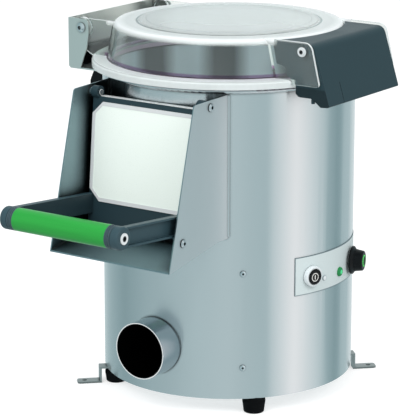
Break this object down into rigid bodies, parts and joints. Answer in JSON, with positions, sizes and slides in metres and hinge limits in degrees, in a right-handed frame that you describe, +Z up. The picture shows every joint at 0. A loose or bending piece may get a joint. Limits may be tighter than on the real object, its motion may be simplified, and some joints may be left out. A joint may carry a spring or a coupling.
{
  "type": "electric potato peeler",
  "caption": "Upright drum peeler with a hinged clear lid, abrasive turning plate, discharge door with a bar handle in a chute, waste spigot and side controls.",
  "frame": {"origin": "on the body cylinder's axis at bench level, centre of the bench screw circle", "axes": "+Z up, -Y towards the chute and the waste spigot, +X towards the lid grip and the controls"},
  "size_m": [0.4114, 0.5744, 0.504],
  "materials": {
    "steel_body": "brushed, satin",
    "steel_sheet": "fine brushed sheet",
    "bracket_steel": "bent sheet, satin",
    "bright_steel": "polished",
    "bright_screws": "polished",
    "white_screws": "white washers, glossy",
    "cast_alloy": "as cast and turned",
    "painted_motor": "enamel",
    "black_rubber": "matt",
    "seal_rubber": "soft, pinkish",
    "abrasive": "coarse grit",
    "abrasive_plate": "coarse grit",
    "dark_plastic": "moulded, fine grain",
    "slate_plastic": "moulded, satin",
    "black_plastic": "moulded",
    "grey_plastic": "moulded",
    "white_plastic": "moulded",
    "green_plastic": "satin gloss",
    "green_lens": "translucent lens",
    "green_tip": "translucent",
    "clear_plastic": "clear moulded polycarbonate",
    "white_plate": "pale plate with grey border, bare",
    "strip_label": "printed foil strip, bare",
    "brass_pipe": "turned"
  },
  "bodies": {
    "housing": {"outer_body": "steel_body", "base_plate": "steel_sheet", "rubber_feet": "black_rubber", "base_bolts": "bright_screws", "bench_brackets": "bracket_steel", "body_screws": "bright_screws", "chassis_plate": "steel_sheet", "drum_floor": "steel_sheet", "abrasive_liner": "abrasive", "bearing_housing": "cast_alloy", "shaft_bearings": "bright_steel", "shaft_seal": "black_rubber", "drive_belt": "black_rubber", "motor_body": "painted_motor", "run_capacitor": "white_plastic", "control_box": "grey_plastic", "drain_duct": "bright_steel", "drain_spigot": "bright_steel", "chute_side_left": "steel_sheet", "chute_side_right": "steel_sheet", "chute_floor": "steel_sheet", "chute_screws": "bright_screws", "door_spacers": "bright_steel", "door_stops": "black_rubber", "lid_sensor": "black_plastic", "hinge_bracket": "bracket_steel", "hinge_block": "black_plastic", "hinge_cover": "black_plastic", "hinge_bolts": "bright_screws", "hinge_pins": "bright_screws", "control_strip": "strip_label", "button_bezel": "bright_steel", "switch_unit": "black_plastic", "small_indicator": "grey_plastic", "pilot_lamp": "green_lens", "timer_unit": "white_plastic", "water_inlet": "brass_pipe", "cable_gland": "black_plastic"},
    "lid": {"lid_dome": "clear_plastic", "lid_seal": "seal_rubber", "lid_grip": "slate_plastic", "grip_screws": "white_screws", "lid_magnet": "bright_steel"},
    "door": {"door_panel": "dark_plastic", "door_back_plate": "bright_steel", "door_seal": "black_rubber", "door_plate": "white_plate", "handle_arms": "dark_plastic", "handle_rod": "bright_steel", "handle_sleeve": "green_plastic", "handle_collars": "grey_plastic", "handle_screws": "white_screws"},
    "peeler": {"peeling_plate": "abrasive_plate", "drive_shaft": "bright_steel", "large_pulley": "cast_alloy"},
    "rotor": {"motor_shaft": "bright_steel", "motor_pulley": "cast_alloy"},
    "button": {"start_button": "black_plastic"},
    "knob": {"timer_knob": "black_plastic", "knob_tip": "green_tip"}
  },
  "joints": [
    {"name": "lid_hinge", "type": "hinge", "parent": "housing", "child": "lid", "pos_m": [-0.175, 0, 0.4835], "axis": [0, -1, 0], "range_deg": [0, 105]},
    {"name": "door_hinge", "type": "hinge", "parent": "housing", "child": "door", "pos_m": [0, -0.181, 0.4205], "axis": [-1, 0, 0], "range_deg": [0, 75]},
    {"name": "peeler_spin", "type": "hinge", "parent": "housing", "child": "peeler", "pos_m": [0, 0, 0.1], "axis": [0, 0, 1], "continuous": true},
    {"name": "motor_spin", "type": "hinge", "parent": "housing", "child": "rotor", "pos_m": [0, 0.104, 0.05], "axis": [0, 0, 1], "continuous": true},
    {"name": "start_press", "type": "slide", "parent": "housing", "child": "button", "axis": [-0.9613, 0.2756, 0], "range_m": [0, 0.003], "stiffness_N_per_m": 400, "springref_m": -0.001},
    {"name": "timer_turn", "type": "hinge", "parent": "housing", "child": "knob", "pos_m": [0.16213, 0.05112, 0.1795], "axis": [-0.9537, -0.3007, 0], "range_deg": [0, 300]}
  ],
  "couplings": [
    {"joint": "motor_spin", "follows": "peeler_spin", "ratio": 3.8889}
  ]
}
